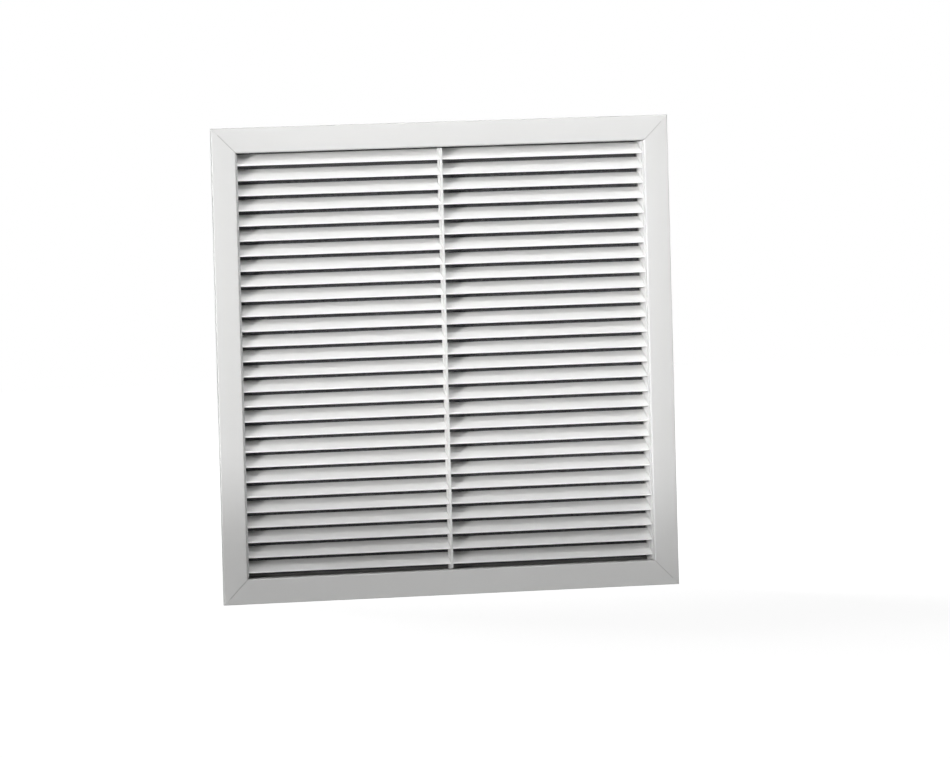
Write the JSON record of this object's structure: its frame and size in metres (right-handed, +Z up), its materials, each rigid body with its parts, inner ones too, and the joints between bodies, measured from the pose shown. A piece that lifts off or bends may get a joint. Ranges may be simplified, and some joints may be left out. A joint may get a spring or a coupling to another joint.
{
  "type": "return air filter grille",
  "caption": "Square white return air grille with fixed sloping blades, a mitred flange and a bottom-hinged core that holds a filter.",
  "frame": {"origin": "centre of the opening, on the plane of the wall behind the flange", "axes": "+Y into the duct, so the face looks to -Y; +Z up, with the hinge at the bottom; +X to the right as the face is looked at"},
  "size_m": [0.6, 0.05, 0.6],
  "materials": {
    "frame_coat": "satin white powder coat",
    "blade_coat": "satin white powder coat",
    "comb_coat": "satin white powder coat",
    "key_aluminium": "mill finish, sawn ends",
    "pin_steel": "turned and zinc plated",
    "bush_nylon": "natural nylon",
    "strike_steel": "zinc plated sheet",
    "magnet": "dark ferrite block",
    "rivets": "plain aluminium",
    "tab_steel": "zinc plated sheet",
    "stud_steel": "turned and zinc plated",
    "filter_frame": "folded sheet, matte black coat",
    "filter_media": "matte fibre pad",
    "filter_grid": "matte black coat"
  },
  "bodies": {
    "frame": {"frame_top": "frame_coat", "frame_bottom": "frame_coat", "frame_left": "frame_coat", "frame_right": "frame_coat", "corner_key_1": "key_aluminium", "corner_key_2": "key_aluminium", "corner_key_3": "key_aluminium", "corner_key_4": "key_aluminium", "hinge_pin_left": "pin_steel", "hinge_pin_right": "pin_steel", "catch_strike_left": "strike_steel", "catch_strike_right": "strike_steel", "strike_rivets": "rivets"},
    "core": {"blade_01": "blade_coat", "blade_02": "blade_coat", "blade_03": "blade_coat", "blade_04": "blade_coat", "blade_05": "blade_coat", "blade_06": "blade_coat", "blade_07": "blade_coat", "blade_08": "blade_coat", "blade_09": "blade_coat", "blade_10": "blade_coat", "blade_11": "blade_coat", "blade_12": "blade_coat", "blade_13": "blade_coat", "blade_14": "blade_coat", "blade_15": "blade_coat", "blade_16": "blade_coat", "blade_17": "blade_coat", "blade_18": "blade_coat", "blade_19": "blade_coat", "blade_20": "blade_coat", "blade_21": "blade_coat", "blade_22": "blade_coat", "blade_23": "blade_coat", "blade_24": "blade_coat", "blade_25": "blade_coat", "blade_26": "blade_coat", "blade_27": "blade_coat", "blade_28": "blade_coat", "rail_left": "comb_coat", "rail_right": "comb_coat", "mullion": "comb_coat", "top_bar": "comb_coat", "filter_channel": "comb_coat", "hinge_bush_left": "bush_nylon", "hinge_bush_right": "bush_nylon", "catch_magnet_left": "magnet", "catch_magnet_right": "magnet", "tab_stud_left": "stud_steel", "tab_stud_right": "stud_steel", "filter_frame": "filter_frame", "filter_media": "filter_media", "filter_grid": "filter_grid"},
    "filter_tab_left": {"filter_tab_left": "tab_steel"},
    "filter_tab_right": {"filter_tab_right": "tab_steel"}
  },
  "joints": [
    {"name": "core_hinge", "type": "hinge", "parent": "frame", "child": "core", "pos_m": [0, 0.002, -0.2635], "axis": [1, 0, 0], "range_deg": [0, 90]},
    {"name": "filter_tab_left_turn", "type": "hinge", "parent": "core", "child": "filter_tab_left", "pos_m": [-0.14, 0.0367, 0.258], "axis": [0, 1, 0], "range_deg": [-90, 90]},
    {"name": "filter_tab_right_turn", "type": "hinge", "parent": "core", "child": "filter_tab_right", "pos_m": [0.14, 0.0367, 0.258], "axis": [0, 1, 0], "range_deg": [-90, 90]}
  ]
}
